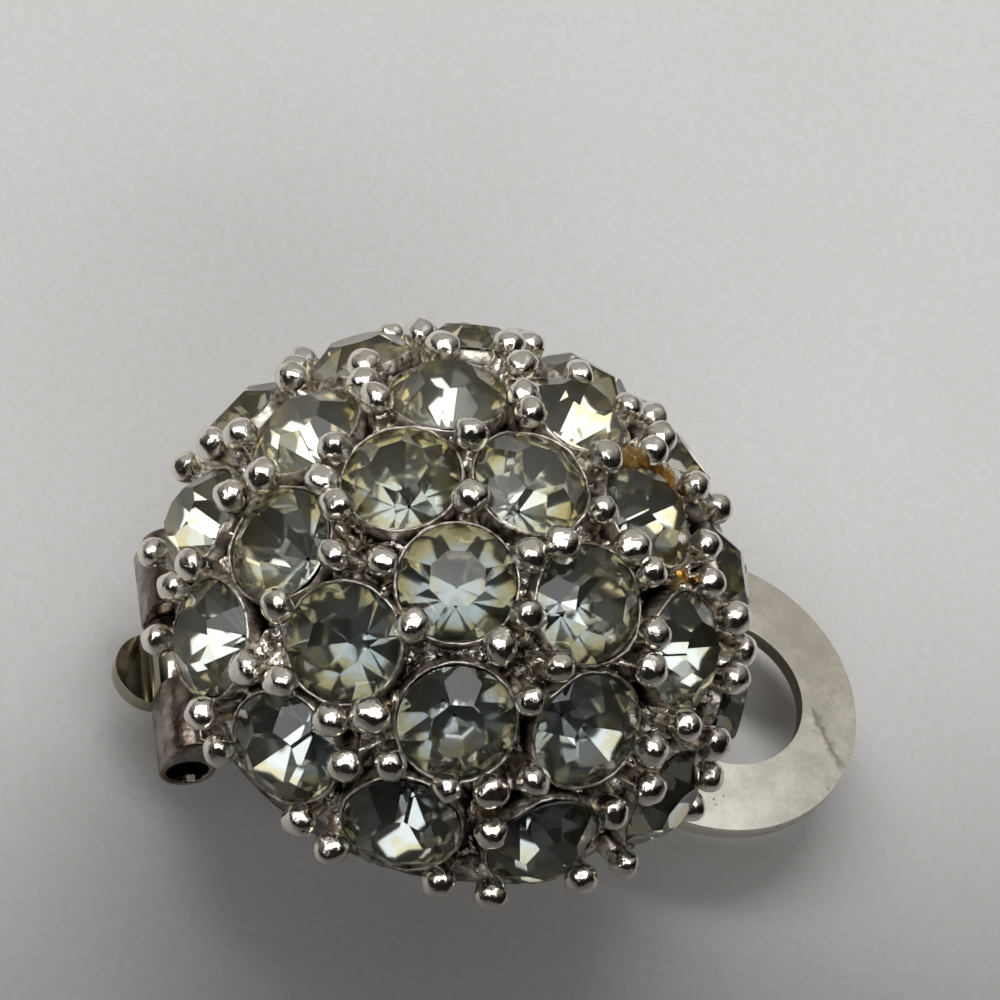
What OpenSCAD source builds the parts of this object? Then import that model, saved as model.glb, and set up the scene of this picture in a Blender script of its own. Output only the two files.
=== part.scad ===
// A clip-on earring lying on its back: a domed cast setting of round glass stones
// over a hinged clip, a bowed plate that ends in a disc with a round hole. Sizes are in
// millimetres, +Z is up. The lowest part of the clip's bow is on z = 0, the dome's axis
// is on x = y = 0, and the clip runs along X with its hinge towards -X.

/* [Dome] */
// height of the dome's centre
dome_z = 5.1; // [4:0.1:8]
// radius of the cast bed between the stones
bed_r = 9.62; // [8.5:0.02:11]
// radius of the hollow behind the bed
hollow_r = 7.6; // [6:0.1:9]
// height of the dome's open rim
rim_z = 4.5; // [3:0.05:6]

/* [Stones] */
// distance of a stone's girdle from the dome's centre
girdle_r = 9.6; // [8:0.1:12]
// diameter of a stone
stone_d = 3.8; // [2:0.1:5]
// height of the crown above the girdle
crown_h = 0.85; // [0.4:0.05:1.2]
// depth of the pavilion below the girdle
pavilion_h = 1.6; // [0.8:0.05:2.2]
// width of the table
table_d = 1.9; // [1:0.1:3]
// thickness of the girdle
girdle_t = 0.12; // [0.05:0.01:0.3]
// clearance of a stone in its seat
seat_gap = 0.03; // [0.02:0.01:0.08]

/* [Prongs] */
// diameter of a prong's ball head
ball_d = 1.04; // [0.6:0.02:1.6]
// distance of a ball's centre from the dome's centre
ball_r = 10.2; // [9:0.1:12]
// angle between a stone's axis and its balls, seen from the dome's centre
ball_angle = 14; // [12:0.5:16]
// diameter of the post under a ball
post_d = 0.7; // [0.4:0.05:1]

/* [Back] */
// width of the bar across the open back
bar_w = 3.6; // [3:0.1:6]
// thickness of the bar
bar_t = 1; // [0.6:0.1:2]
// distance from the dome's axis to the end of the bar
bar_reach = 8.4; // [8:0.1:9]
// diameter of the two posts that hold the bracket
rivet_d = 1.4; // [1:0.1:2]
// diameter of the heads of those posts
rivet_head_d = 2.3; // [1.6:0.1:3]
// thickness of the heads
rivet_head_t = 0.35; // [0.2:0.05:0.6]
// clearance between pieces that are pressed together
seated_gap = 0.02; // [0.02:0.01:0.05]

/* [Bracket] */
// thickness of the stamped sheet
sheet_t = 0.6; // [0.4:0.05:1]
// length of an ear along the pin
ear_l = 2.75; // [0.6:0.05:3.5]
// radius of an ear's rounding at its top and bottom
ear_r = 0.95; // [0.7:0.05:1.4]
// clear width between the ears
ear_inside = 2.9; // [2.8:0.1:5]
// diameter of the hollow in an ear's outer end
ear_hollow_d = 1.4; // [1:0.1:1.6]
// depth of that hollow
ear_hollow_l = 1.6; // [0:0.1:2.2]
// x of the bracket's outer edge
bracket_x0 = -8.7; // [-9.5:0.1:-8]
// x of the bracket's inner edge
bracket_x1 = 1; // [-2:0.1:4]
// length along X of the wide part that carries the ears
shoulder_l = 1.9; // [1:0.1:3]

/* [Hinge] */
// x of the hinge pin
pin_x = -8.6; // [-10:0.1:-7]
// height of the hinge pin
pin_z = 2.55; // [1:0.05:4]
// diameter of the hinge pin
pin_d = 0.8; // [0.5:0.05:1.2]
// radial running clearance of the pin
pin_gap = 0.04; // [0.02:0.01:0.08]
// length of the hinge pin
pin_l = 5.7; // [5:0.1:7]

/* [Clip] */
// thickness of the clip's plate
plate_t = 0.6; // [0.4:0.05:1]
// x of the centre of the disc
disc_x = 10.9; // [9:0.1:14]
// diameter of the disc
disc_d = 11; // [8:0.1:13]
// x of the centre of the round hole
hole_x = 11.5; // [9:0.1:14]
// diameter of the round hole
hole_d = 5.8; // [3:0.1:8]
// depth of the bow between the hinge and the disc
bow = 1.5; // [0:0.1:3]
// x where the bow's flat bottom begins
bow_x0 = -4; // [-5:0.1:-2]
// x where the bow's flat bottom ends
bow_x1 = 2.5; // [0:0.1:3]
// length of the slope at each end of the bow
slope_l = 3; // [1:0.1:4]
// width of the round tail
tail_w = 2.7; // [1.5:0.1:3.6]
// x of the centre of the tail's round end
tail_x = -9.15; // [-10:0.05:-8.6]
// width of the arm beside the hinge
arm_w0 = 3.6; // [2:0.1:3.8]
// width of the arm at the disc
arm_w1 = 6.8; // [3:0.1:9]
// radius of the barrel on the pin
barrel_r = 0.85; // [0.6:0.05:1.1]

/* [Hidden] */
$fn = 96;
stone_r = stone_d / 2;
eps = 0.01;
bracket_top = rim_z - seated_gap;
bracket_bottom = bracket_top - sheet_t;
ear_y = ear_inside / 2;
rivet_x = [-5.6, -1];
slope_steps = 8;

// Columns of STONES: angle down from the dome's top, angle around it from the clip's
// free end, and the directions of the stone's prongs, 0 being straight down the dome.
DOWN = 0;
AROUND = 1;
PRONGS = 2;
STONES = [
    [0, 0, [140, 285, 330]],
    // first ring
    [25, 54, [85, 155, 220, 330]],
    [27, 116, [75, 230, 330]],
    [25, 173, [160, 325]],
    [26, 231, [65, 100, 145, 290]],
    [26, 294, [55, 125, 310]],
    [27, 356, [85, 265, 355]],
    // second ring
    [53, 26, [15, 170, 220]],
    [51, 57, [15, 110, 175, 285]],
    [55, 87, [30, 120, 190, 300]],
    [56, 116, [20, 85, 150]],
    [48, 150, [0, 225]],
    [51, 184, [145, 180, 215, 270]],
    [49, 216, [40, 75, 145, 290]],
    [50, 251, [45, 130, 320]],
    [50, 286, [60, 300]],
    [47, 324, [115, 240, 315]],
    [62, 359, [100, 240, 285, 320]],
    // third ring
    [77, 20, [5, 70, 250]],
    [76, 45, [0, 90, 180]],
    [77, 74, [5, 70, 135]],
    [77, 103, [85, 175, 355]],
    [77, 135, [55, 120, 210, 310]],
    [73, 166, [0, 70, 170]],
    [74, 193, [50, 130, 250, 325]],
    [74, 221, [45, 120, 210, 320]],
    [75, 249, [45, 160, 320]],
    [75, 279, [45, 125, 240, 320]],
    [77, 310, [45, 115, 220, 315]],
    [77, 338, [10, 80, 190, 305]],
];

function stone_name(i) = str("stone_", i < 9 ? "0" : "", i + 1);

// Stands children on the dome, their Z axis along the stone's.
module on_dome(i) {
    translate([0, 0, dome_z])
        rotate([0, STONES[i][DOWN], STONES[i][AROUND]])
            children();
}

// The room a stone takes in the casting, with its clearance.
module stone_room(i) {
    r = stone_r + seat_gap;
    half = girdle_t / 2 + seat_gap;
    on_dome(i) translate([0, 0, girdle_r])
        rotate_extrude() polygon([
            [0, -half - pavilion_h],
            [seat_gap * 3, -half - pavilion_h],
            [r, -half],
            [r, half],
            [table_d / 2, half + crown_h],
            [0, half + crown_h]
        ]);
}

// One ball prong, its post rising out of the bed.
module prong(i, turn) {
    foot = girdle_r - 0.9;
    on_dome(i) rotate([0, ball_angle, turn]) {
        translate([0, 0, foot])
            cylinder(d = post_d, h = ball_r - foot);
        translate([0, 0, ball_r])
            sphere(d = ball_d);
    }
}

module dome_shell() {
    difference() {
        translate([0, 0, dome_z]) sphere(r = bed_r);
        translate([0, 0, dome_z]) sphere(r = hollow_r);
        translate([-15, -15, rim_z - 30]) cube([30, 30, 30]);
    }
}

// The bar across the back, with the two headed posts that go through the bracket.
module back_bar() {
    post_bottom = bracket_bottom - seated_gap;
    translate([-bar_reach, -bar_w / 2, rim_z])
        cube([2 * bar_reach, bar_w, bar_t]);
    for (x = rivet_x) translate([x, 0, post_bottom]) {
        cylinder(d = rivet_d, h = rim_z - post_bottom + eps);
        translate([0, 0, -rivet_head_t])
            cylinder(d = rivet_head_d, h = rivet_head_t);
    }
}

module setting() {
    color("#b9b7b2") difference() {
        union() {
            dome_shell();
            back_bar();
            for (i = [0 : len(STONES) - 1])
                for (turn = STONES[i][PRONGS]) prong(i, turn);
        }
        for (i = [0 : len(STONES) - 1]) stone_room(i);
    }
}

// Points of a cut stone: table, crown corners, girdle top, girdle bottom and culet.
function ring_points(count, r, z, phase) = [
    for (k = [0 : count - 1])
        [r * cos(phase + k * 360 / count), r * sin(phase + k * 360 / count), z]
];
CUT = concat(
    ring_points(8, table_d / 2, crown_h, 22.5),
    ring_points(8, stone_r * 0.79, crown_h * 0.54, 45),
    ring_points(16, stone_r, girdle_t / 2, 0),
    ring_points(16, stone_r, -girdle_t / 2, 0),
    [[0, 0, -pavilion_h]]
);
TABLE = 0;
CROWN = 8;
TOP = 16;
BOTTOM = 32;
CULET = 48;
CUT_FACES = concat(
    [[for (k = [7 : -1 : 0]) TABLE + k]],
    [for (k = [0 : 7]) [TABLE + k, TABLE + (k + 1) % 8, CROWN + k]],
    [for (k = [0 : 7]) [CROWN + k, TABLE + (k + 1) % 8, CROWN + (k + 1) % 8]],
    [for (k = [0 : 7]) [CROWN + k, CROWN + (k + 1) % 8, TOP + (2 * k + 3) % 16]],
    [for (k = [0 : 7]) [CROWN + k, TOP + (2 * k + 3) % 16, TOP + (2 * k + 2) % 16]],
    [for (k = [0 : 7]) [CROWN + k, TOP + (2 * k + 2) % 16, TOP + (2 * k + 1) % 16]],
    [for (k = [0 : 15]) [TOP + k, TOP + (k + 1) % 16, BOTTOM + (k + 1) % 16]],
    [for (k = [0 : 15]) [TOP + k, BOTTOM + (k + 1) % 16, BOTTOM + k]],
    [for (k = [0 : 15]) [BOTTOM + k, BOTTOM + (k + 1) % 16, CULET]]
);

module stone(i) {
    color("#d9dccb") on_dome(i) translate([0, 0, girdle_r])
        polyhedron(points = CUT, faces = CUT_FACES);
}

// A knuckle of the hinge, rounded over at its top and bottom, beginning at y.
module ear(y) {
    ear_top = bracket_top - 0.03 - ear_r;
    translate([pin_x - ear_r, y, pin_z])
        cube([2 * ear_r, ear_l, ear_top - pin_z]);
    for (z = [pin_z, ear_top])
        translate([pin_x, y, z]) rotate([-90, 0, 0])
            cylinder(r = ear_r, h = ear_l);
}

// The bracket: a strip under the bar, with two ears for the hinge pin.
module clip_base() {
    ear_out = ear_y + ear_l;
    color("#c9c8c4") difference() {
        union() {
            translate([bracket_x0, -bar_w / 2, bracket_bottom])
                cube([bracket_x1 - bracket_x0, bar_w, sheet_t]);
            translate([bracket_x0, -ear_out, bracket_bottom])
                cube([shoulder_l, 2 * ear_out, sheet_t]);
            ear(-ear_out);
            ear(ear_y);
        }
        for (x = rivet_x) translate([x, 0, bracket_bottom - 1])
            cylinder(d = rivet_d + 2 * seated_gap, h = sheet_t + 2);
        translate([pin_x, -5, pin_z]) rotate([-90, 0, 0])
            cylinder(d = pin_d + 2 * seated_gap, h = 10);
        for (y = [-ear_out - 1, ear_out - ear_hollow_l])
            translate([pin_x, y, pin_z]) rotate([-90, 0, 0])
                cylinder(d = ear_hollow_d, h = ear_hollow_l + 1);
    }
}

module hinge_pin() {
    color("#a9a8a4") translate([pin_x, -pin_l / 2, pin_z]) rotate([-90, 0, 0])
        cylinder(d = pin_d, h = pin_l);
}

// The lever's outline from above: round tail, widening arm and disc.
module clip_outline() {
    neck_x = disc_x - disc_d / 2 + 1;
    polygon([
        [tail_x, -tail_w / 2],
        [pin_x + 1.2, -tail_w / 2],
        [pin_x + 2.2, -arm_w0 / 2],
        [neck_x, -arm_w1 / 2],
        [neck_x, arm_w1 / 2],
        [pin_x + 2.2, arm_w0 / 2],
        [pin_x + 1.2, tail_w / 2],
        [tail_x, tail_w / 2]
    ]);
    translate([tail_x, 0]) circle(d = tail_w);
    translate([disc_x, 0]) circle(d = disc_d);
}

// Height of the plate's underside a share t of the way up a slope of the bow.
function rise(t) = bow * (1 - cos(180 * t)) / 2;

// The lever's outline from the side: level at both ends, bowed down in between.
module clip_profile() {
    far = 40;
    under = concat(
        [[-far, bow]],
        [for (k = [slope_steps : -1 : 0])
            [bow_x0 - slope_l * k / slope_steps, rise(k / slope_steps)]],
        [for (k = [0 : slope_steps])
            [bow_x1 + slope_l * k / slope_steps, rise(k / slope_steps)]],
        [[far, bow]]
    );
    over = [for (k = [len(under) - 1 : -1 : 0]) under[k] + [0, plate_t]];
    polygon(concat(under, over));
}

// The bowed lever, with its barrel on the pin and the disc's hole.
module paddle() {
    barrel_l = ear_inside - 0.1;
    color("#d2d1cc") difference() {
        union() {
            intersection() {
                linear_extrude(bow + plate_t) clip_outline();
                translate([0, disc_d, 0]) rotate([90, 0, 0])
                    linear_extrude(2 * disc_d) clip_profile();
            }
            translate([pin_x, -barrel_l / 2, pin_z]) rotate([-90, 0, 0])
                cylinder(r = barrel_r, h = barrel_l);
        }
        translate([hole_x, 0, -1]) cylinder(d = hole_d, h = bow + plate_t + 2);
        translate([pin_x, -5, pin_z]) rotate([-90, 0, 0])
            cylinder(d = pin_d + 2 * pin_gap, h = 10);
    }
}

setting();
clip_base();
hinge_pin();
paddle();
for (i = [0 : len(STONES) - 1])
    stone(i);
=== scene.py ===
"""Looks of a clip-on earring that lies on its back: a domed casting full of foiled glass
stones over a bowed hinged clip. Pieces are built in millimetres and published in metres."""
import functools
import logging
import math
import random
from collections.abc import Iterable
from dataclasses import dataclass, field
from enum import Enum
from typing import Any, Protocol

import bmesh
import bpy
from mathutils import Matrix, Vector, kdtree, noise


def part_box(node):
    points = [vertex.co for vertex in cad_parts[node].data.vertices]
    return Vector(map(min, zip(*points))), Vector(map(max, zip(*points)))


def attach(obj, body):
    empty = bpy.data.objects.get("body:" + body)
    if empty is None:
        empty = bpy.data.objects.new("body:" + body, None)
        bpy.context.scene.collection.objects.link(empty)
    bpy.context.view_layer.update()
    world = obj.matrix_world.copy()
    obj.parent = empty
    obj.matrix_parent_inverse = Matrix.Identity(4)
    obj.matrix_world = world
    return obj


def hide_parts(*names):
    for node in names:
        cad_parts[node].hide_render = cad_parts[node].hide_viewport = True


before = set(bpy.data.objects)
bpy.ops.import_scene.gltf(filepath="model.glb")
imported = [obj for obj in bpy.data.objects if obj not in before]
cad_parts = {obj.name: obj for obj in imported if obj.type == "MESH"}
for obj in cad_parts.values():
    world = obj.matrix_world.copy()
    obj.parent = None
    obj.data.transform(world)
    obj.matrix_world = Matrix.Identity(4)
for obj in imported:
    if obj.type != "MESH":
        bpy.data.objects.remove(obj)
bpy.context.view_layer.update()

MM = 0.001
DOME_CENTRE = (0.0, 0.0, 5.1)
# Share of a rounded edge's width that the point in its middle stands back
CORNER = 0.3
log = logging.getLogger("earring")

Colour = tuple[float, float, float, float]


class Body(Enum):
    """The two bodies that the hinge joins."""

    CLUSTER = "cluster"
    CLIP = "clip"


class Slot(Enum):
    """The record's material slots."""

    CAST = "cast_metal"
    CLIP = "clip_metal"
    GLASS = "stone_glass"


def mm_box(node: str) -> tuple[Vector, Vector]:
    """Reads a node's box.

    Args:
        node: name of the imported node.

    Returns:
        Its lowest and highest corners in millimetres.
    """
    low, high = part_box(node)
    return low / MM, high / MM


# Finishes


class Nodes:
    """Writes a node tree in few words."""

    def __init__(self, tree: bpy.types.NodeTree) -> None:
        """Starts with an empty tree."""
        self.tree = tree
        self.tree.nodes.clear()

    def add(self, kind: str, inputs: dict[Any, Any] | None = None, **settings: Any) -> Any:
        """Adds a node.

        Args:
            kind: the node's type.
            inputs: a value or a socket for each named or numbered input.
            settings: the node's own settings.

        Returns:
            The node.
        """
        node = self.tree.nodes.new(kind)
        for key, value in settings.items():
            setattr(node, key, value)
        for key, value in (inputs or {}).items():
            if isinstance(value, bpy.types.NodeSocket):
                self.tree.links.new(value, node.inputs[key])
            else:
                node.inputs[key].default_value = value
        return node

    def math(self, operation: str, a: Any, b: Any = 0.0) -> Any:
        """Returns the result of one math node."""
        return self.add("ShaderNodeMath", {0: a, 1: b}, operation=operation).outputs[0]

    def vector_math(self, operation: str, a: Any, b: Any) -> Any:
        """Returns the outputs of one vector math node."""
        return self.add("ShaderNodeVectorMath", {0: a, 1: b}, operation=operation).outputs

    def mix(self, share: Any, a: Any, b: Any, blend: str = "MIX") -> Any:
        """Returns a mix of two colours, the second by its share."""
        inputs = {0: share, 6: a, 7: b}
        return self.add("ShaderNodeMix", inputs, data_type="RGBA", blend_type=blend).outputs[2]

    def ramp(self, value: Any, start: float, end: float, low: float = 0.0, high: float = 1.0) -> Any:
        """Spreads a value between two limits.

        Args:
            value: the socket to read.
            start: value that becomes low.
            end: value that becomes high.
            low: result at the start.
            high: result at the end.

        Returns:
            The clamped result.
        """
        inputs = {0: value, 1: start, 2: end, 3: low, 4: high}
        return self.add("ShaderNodeMapRange", inputs, interpolation_type="SMOOTHSTEP").outputs[0]


class Graph(Nodes):
    """Writes one material's nodes. Lengths are in millimetres."""

    def __init__(self, name: str) -> None:
        """Starts an empty material.

        Args:
            name: the material's name.
        """
        self.material = bpy.data.materials.new(name)
        self.material.use_nodes = True
        super().__init__(self.material.node_tree)
        self.place = self.add("ShaderNodeTexCoord").outputs["Object"]

    def noise(self, grain: float, detail: float = 3.0) -> Any:
        """Adds a noise pattern.

        Args:
            grain: width of one grain.
            detail: octaves of finer noise.

        Returns:
            The pattern's value, about 0.5 on average.
        """
        inputs = {"Vector": self.place, "Scale": 1 / (grain * MM), "Detail": detail}
        return self.add("ShaderNodeTexNoise", inputs).outputs["Fac"]

    def distance(self, centre: tuple[float, float, float]) -> Any:
        """Returns the distance from a point."""
        away = self.vector_math("DISTANCE", self.place, tuple(v * MM for v in centre))["Value"]
        return self.math("MULTIPLY", away, 1 / MM)

    def along(self, axis: int, span: tuple[float, float], low: float = 0.0, high: float = 1.0) -> Any:
        """Spreads a value between two places along an axis.

        Args:
            axis: 0 for X, 1 for Y.
            span: the two places.
            low: result at the first place.
            high: result at the second place.

        Returns:
            The clamped result.
        """
        place = self.add("ShaderNodeSeparateXYZ", {0: self.place}).outputs[axis]
        return self.ramp(place, span[0] * MM, span[1] * MM, low, high)

    def bump(self, height: Any, depth: float) -> Any:
        """Returns a normal bent by a pattern of this full height."""
        return self.add("ShaderNodeBump", {"Height": height, "Distance": depth * MM}).outputs[0]

    def surface(self, inputs: dict[str, Any]) -> bpy.types.Material:
        """Ends the material with its shader.

        Args:
            inputs: the shader's inputs.

        Returns:
            The material.
        """
        shader = self.add("ShaderNodeBsdfPrincipled", inputs)
        self.add("ShaderNodeOutputMaterial", {"Surface": shader.outputs[0]})
        return self.material


class Finish(Protocol):
    """What a piece is dressed in."""

    name: str

    def material(self) -> bpy.types.Material:
        """Builds the material."""


@functools.cache
def dressed(finish: Finish) -> bpy.types.Material:
    """Returns a finish's material, built once."""
    return finish.material()


@dataclass(frozen=True)
class CastSilver:
    """Silver-plated casting: bright where it stands proud, brown and dull in the recesses.

    The radii are from the dome's centre: painted shade darkens the deepest recesses near black up to
    recess_shade_r, the metal is foul up to foul_r and clean from clean_r. Lengths are in millimetres.
    """

    name: str
    bright: Colour = (0.83, 0.79, 0.715, 1)
    tarnish: Colour = (0.36, 0.27, 0.15, 1)
    recess_shade: Colour = (0.030, 0.024, 0.018, 1)
    polish: float = 0.13
    dull: float = 0.42
    grain: float = 0.22
    patches: float = 1.4
    relief: float = 0.05
    recess_shade_r: float = 8.95
    foul_r: float = 9.35
    clean_r: float = 9.95
    stain: float = 0.55

    def material(self) -> bpy.types.Material:
        """Builds the metal with its tarnish, painted recess shade, grain and relief.

        Returns:
            The material.
        """
        g = Graph(self.name)
        away = g.distance(DOME_CENTRE)
        grit = g.noise(self.grain, 4)
        stains = g.ramp(g.noise(self.patches, 4), 0.35, 0.75, -self.stain, self.stain)
        foul = g.ramp(g.math("ADD", g.ramp(away, self.foul_r, self.clean_r, 1, 0), stains), 0, 1)
        worn = g.mix(g.ramp(grit, 0.3, 0.7), self.tarnish, self.bright)
        metal = g.mix(foul, self.bright, worn)
        wear = g.math("ADD", foul, g.math("MULTIPLY", grit, 0.3))
        return g.surface({
            # painted shade: deep in the dome the metal is painted near black, as shade in the
            # recesses
            "Base Color": g.mix(g.ramp(away, self.recess_shade_r, self.foul_r, 1, 0), metal, self.recess_shade),
            "Metallic": 1.0,
            "Roughness": g.ramp(wear, 0, 1.2, self.polish, self.dull),
            "Normal": g.bump(grit, self.relief),
        })


@dataclass(frozen=True)
class SheetSilver:
    """Silver-plated sheet: satin with a fine grain, patches and pits, and a scratch if given.

    Places and lengths are in millimetres. The metal is polished on the hinge side of polish_x,
    tarnished on that side of stain_x, painted darker as shade along painted_shade_x and
    painted_shade_y by the shares in shade, towards the dim colour that the mottle also leads to,
    and has most of its pits where y is below pit_y.
    """

    name: str
    bright: Colour = (0.88, 0.85, 0.765, 1)
    dim: Colour = (0.50, 0.47, 0.40, 1)
    pit: Colour = (0.07, 0.06, 0.05, 1)
    tarnish: Colour = (0.20, 0.18, 0.11, 1)
    satin: float = 0.24
    polished: float = 0.12
    mottle: float = 0.10
    grain: float = 0.16
    relief: float = 0.0
    polish_x: float = -5.0
    stain_x: float = -20.0
    stain: float = 0.8
    shade: tuple[float, float] = (0.60, 0.40)
    painted_shade_x: tuple[float, float] = (10.5, 15.0)
    painted_shade_y: tuple[float, float] = (-4.0, 4.5)
    pit_y: tuple[float, float] = (-4.2, -3.4)
    pit_size: float = 0.42
    scratch_from: tuple[float, float] | None = None
    scratch_to: tuple[float, float] | None = None
    scratch_w: float = 0.22
    scratch_share: float = 0.55

    def scratch(self, g: Graph) -> Any:
        """Draws the scratch, a wavering line between its two ends.

        Args:
            g: the material's graph.

        Returns:
            A value that is 1 on the scratch and 0 elsewhere.
        """
        start = Vector((*self.scratch_from, 0)) * MM
        along = Vector((*self.scratch_to, 0)) * MM - start
        across = Vector((-along.y, along.x, 0)).normalized()
        offset = g.vector_math("SUBTRACT", g.place, start)[0]
        share = g.vector_math("DOT_PRODUCT", offset, along / along.length_squared)["Value"]
        side = g.vector_math("DOT_PRODUCT", offset, across / MM)["Value"]
        waver = g.ramp(g.noise(0.5), 0.2, 0.8, -0.16, 0.16)
        near = g.ramp(g.math("ABSOLUTE", g.math("ADD", side, waver)), 0, self.scratch_w, 1, 0)
        middle = g.ramp(g.math("ABSOLUTE", g.math("SUBTRACT", share, 0.5)), 0.35, 0.55, 1, 0)
        return g.math("MULTIPLY", near, middle)

    def pits(self, g: Graph) -> Any:
        """Spreads the pits.

        Args:
            g: the material's graph.

        Returns:
            A value that is 1 in a pit and 0 elsewhere.
        """
        inputs = {"Vector": g.place, "Scale": 1 / (self.pit_size * MM), "Randomness": 1.0}
        away = g.add("ShaderNodeTexVoronoi", inputs).outputs["Distance"]
        groups = g.ramp(g.noise(1.1, 2), 0.50, 0.60)
        rare = g.math("MULTIPLY", groups, g.along(1, self.pit_y, 1, 0.12))
        return g.math("MULTIPLY", g.ramp(away, 0.06, 0.20, 1, 0), rare)

    def material(self) -> bpy.types.Material:
        """Builds the satin metal with its painted shade, patches, stain, scratch and pits.

        Returns:
            The material.
        """
        g = Graph(self.name)
        cloud = g.noise(0.9)
        # painted shade: the metal is painted darker towards +X and +Y, and is left bright on the
        # other sides as a painted highlight
        shade_along_x = g.along(0, self.painted_shade_x, 0, self.shade[0])
        shade = g.math("ADD", shade_along_x, g.along(1, self.painted_shade_y, 0, self.shade[1]))
        patches = g.ramp(cloud, 0.25, 0.75, 0, self.mottle)
        mottled = g.math("ADD", patches, g.ramp(g.noise(0.2), 0.3, 0.7, 0, self.grain))
        metal = g.mix(g.math("ADD", shade, mottled), self.bright, self.dim)
        stained = g.along(0, (self.stain_x - 0.4, self.stain_x + 0.4), self.stain, 0)
        metal = g.mix(stained, metal, self.tarnish)
        if self.scratch_from is not None:
            metal = g.mix(g.math("MULTIPLY", self.scratch(g), self.scratch_share), metal, self.pit)
        satin = g.along(0, (self.polish_x - 1, self.polish_x + 1), self.polished, self.satin)
        inputs = {
            "Base Color": g.mix(self.pits(g), metal, self.pit),
            "Metallic": 1.0,
            "Roughness": g.math("ADD", satin, g.ramp(cloud, 0.3, 0.7, -0.04, 0.04)),
        }
        if self.relief:
            inputs["Normal"] = g.bump(g.noise(0.45, 4), self.relief)
        return g.surface(inputs)


@dataclass(frozen=True)
class CutGlass:
    """Clear glass of a crown, slightly yellow, with faint wear on its facets."""

    name: str
    tint: Colour = (0.975, 0.957, 0.88, 1)
    haze: Colour = (0.80, 0.80, 0.70, 1)
    ior: float = 1.53
    wear: float = 0.08

    def material(self) -> bpy.types.Material:
        """Builds the glass.

        Returns:
            The material.
        """
        g = Graph(self.name)
        clear = g.ramp(g.noise(1.9, 2), 0.3, 0.7, 0.93, 1)
        return g.surface({
            "Base Color": g.mix(clear, self.haze, self.tint),
            "Roughness": g.ramp(g.noise(0.7), 0.45, 0.8, 0, self.wear),
            "IOR": self.ior,
            "Transmission Weight": 1.0,
        })


@dataclass(frozen=True)
class AgedFoil:
    """Foil behind a stone: grey-blue in the middle, olive and yellow towards the girdle.

    As painted light, it is darker and cooler on the dome's shaded -Y side and lighter and warmer
    along painted_light_y, in millimetres.
    """

    name: str
    middle: Colour = (0.48, 0.515, 0.54, 1)
    rim: Colour = (0.45, 0.425, 0.305, 1)
    edge: Colour = (0.30, 0.275, 0.18, 1)
    shaded_tone: Colour = (0.78, 0.81, 0.84, 1)
    lit_tone: Colour = (1.30, 1.26, 1.12, 1)
    painted_light_y: tuple[float, float] = (-7.0, 7.5)
    roughness: float = 0.09
    metallic: float = 0.86

    def material(self) -> bpy.types.Material:
        """Builds the foil from the attribute that says how far out a point lies.

        Returns:
            The material.
        """
        g = Graph(self.name)
        out = g.add("ShaderNodeAttribute", attribute_name="out").outputs["Fac"]
        reach = g.math("ADD", out, g.ramp(g.noise(0.8, 4), 0.3, 0.7, -0.22, 0.22))
        colour = g.mix(g.ramp(reach, 0.35, 0.75), self.middle, self.rim)
        colour = g.mix(g.ramp(reach, 0.85, 1.1), colour, self.edge)
        # painted light: the foil is painted lighter and warmer towards the lit +Y side and darker and
        # cooler towards -Y
        tone = g.mix(g.along(1, self.painted_light_y), self.shaded_tone, self.lit_tone)
        return g.surface({
            "Base Color": g.mix(1.0, colour, tone, "MULTIPLY"),
            "Metallic": self.metallic,
            "Roughness": self.roughness,
        })


@dataclass(frozen=True)
class Resin:
    """Old amber glue, clear and glossy."""

    name: str
    thin: Colour = (0.88, 0.56, 0.12, 1)
    thick: Colour = (0.62, 0.30, 0.03, 1)

    def material(self) -> bpy.types.Material:
        """Builds the resin.

        Returns:
            The material.
        """
        g = Graph(self.name)
        return g.surface({
            "Base Color": g.mix(g.ramp(g.noise(0.4), 0.3, 0.7), self.thin, self.thick),
            "Roughness": 0.12,
            "IOR": 1.5,
            "Transmission Weight": 0.85,
            "Normal": g.bump(g.noise(0.35, 2), 0.05),
        })


@dataclass(frozen=True)
class PaleTable:
    """Smooth pale grey table top with a faint mottle.

    As painted shadow on its near side, it is darker along Y from the second place of painted_shadow_y
    to the first, in millimetres.
    """

    name: str
    pale: Colour = (0.60, 0.59, 0.585, 1)
    shade: Colour = (0.55, 0.54, 0.53, 1)
    # colour of the painted shadow on the table's near side
    near: Colour = (0.10, 0.095, 0.09, 1)
    painted_shadow_y: tuple[float, float] = (-32.0, 12.0)

    def material(self) -> bpy.types.Material:
        """Builds the table's paint.

        Returns:
            The material.
        """
        g = Graph(self.name)
        mottle = g.math("ADD", g.noise(0.35, 2), g.math("MULTIPLY", g.noise(9), 0.5))
        paint = g.mix(g.ramp(mottle, 0.4, 1.1), self.shade, self.pale)
        # painted shadow: the table is painted darker towards -Y, its near side
        colour = g.mix(g.along(1, self.painted_shadow_y, 1, 0), paint, self.near)
        return g.surface({"Base Color": colour, "Roughness": 0.62})


@dataclass(frozen=True)
class DarkCard:
    """Matt black card."""

    name: str

    def material(self) -> bpy.types.Material:
        """Builds the card's paint."""
        return Graph(self.name).surface({"Base Color": (0.014, 0.012, 0.010, 1), "Roughness": 1.0})


# The castings are painted near black as shade where they lie deep in the dome, below the radius of
# their recess shade.
BED_METAL = CastSilver(
    "cast_bed", tarnish=(0.085, 0.05, 0.026, 1), grain=0.5, relief=0.16, polish=0.10, dull=0.26,
    recess_shade_r=9.0, foul_r=9.28, clean_r=9.5, stain=0.5,
)
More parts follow.
